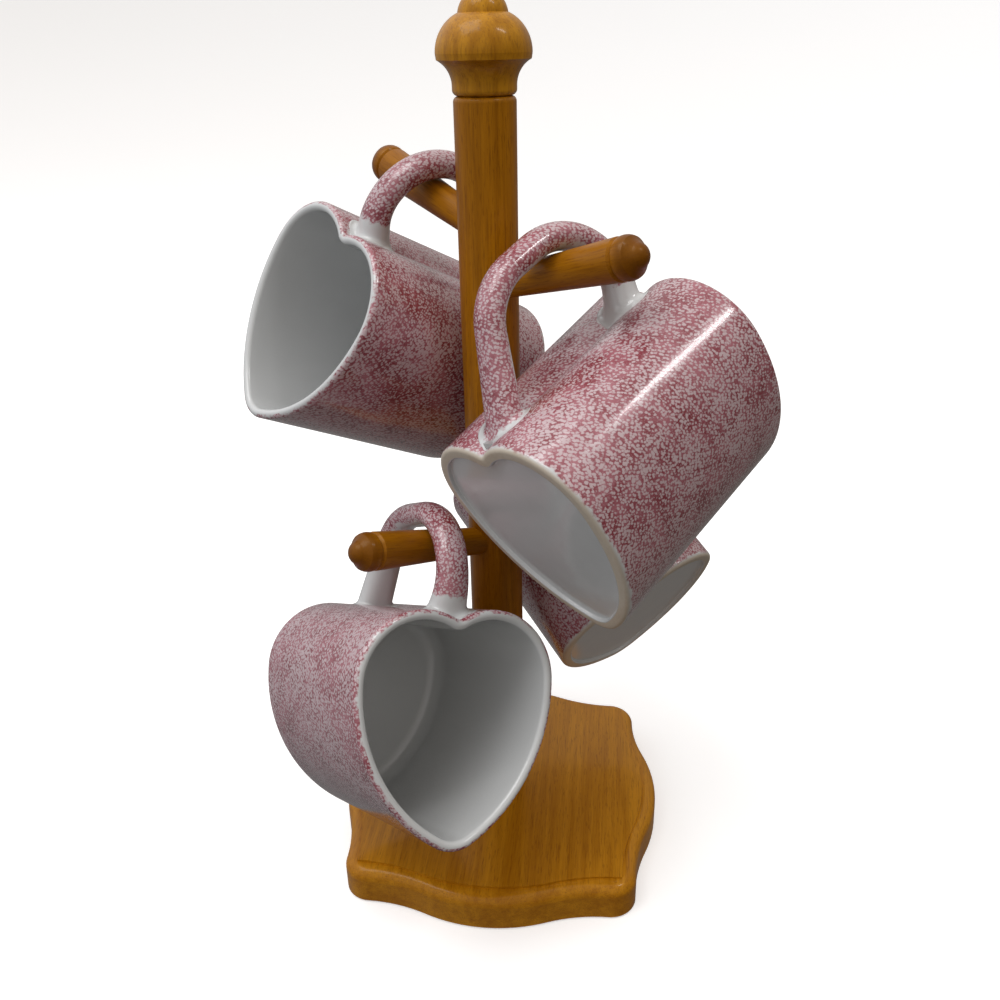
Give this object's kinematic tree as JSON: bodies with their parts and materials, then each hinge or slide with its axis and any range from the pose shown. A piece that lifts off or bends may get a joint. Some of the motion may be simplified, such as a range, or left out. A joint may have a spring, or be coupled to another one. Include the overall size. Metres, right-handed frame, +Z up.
{
  "type": "mug tree",
  "caption": "Wooden mug tree: a turned post with a finial on a shaped base board, and tapered pegs that each hold a heart-section stoneware mug by its handle.",
  "frame": {"origin": "centre of the base board's underside", "axes": "+Z up along the post; X and Y parallel to the base board's sides; -Y is the front"},
  "size_m": [0.2154, 0.2238, 0.354],
  "materials": {
    "base_wood": "clear satin lacquer",
    "post_wood": "clear satin lacquer",
    "peg_wood": "clear satin lacquer",
    "dowel_wood": "plain beech",
    "steel": "zinc plated",
    "glazed_stoneware": "sponged glaze"
  },
  "bodies": {
    "stand": {"base_board": "base_wood", "post": "post_wood", "finial": "post_wood", "finial_dowel": "dowel_wood", "base_screws": "steel", "peg_upper_left": "peg_wood", "peg_upper_right": "peg_wood", "peg_lower_left": "peg_wood", "peg_lower_right": "peg_wood"},
    "upper_left_mug": {"mug_upper_left": "glazed_stoneware", "handle_upper_left": "glazed_stoneware"},
    "upper_right_mug": {"mug_upper_right": "glazed_stoneware", "handle_upper_right": "glazed_stoneware"},
    "lower_left_mug": {"mug_lower_left": "glazed_stoneware", "handle_lower_left": "glazed_stoneware"},
    "lower_right_mug": {"mug_lower_right": "glazed_stoneware", "handle_lower_right": "glazed_stoneware"}
  },
  "joints": [
    {"name": "upper_left_mug_lift_off", "type": "slide", "parent": "stand", "child": "upper_left_mug", "axis": [-0.6599, 0.6834, 0.3123], "range_m": [0, 0.051]},
    {"name": "upper_right_mug_lift_off", "type": "slide", "parent": "stand", "child": "upper_right_mug", "axis": [0.7383, -0.5978, 0.3123], "range_m": [0, 0.05]},
    {"name": "lower_left_mug_lift_off", "type": "slide", "parent": "stand", "child": "lower_left_mug", "axis": [-0.6232, -0.717, 0.3123], "range_m": [0, 0.05]},
    {"name": "lower_right_mug_lift_off", "type": "slide", "parent": "stand", "child": "lower_right_mug", "axis": [0.6295, 0.7115, 0.3123], "range_m": [0, 0.045]}
  ]
}
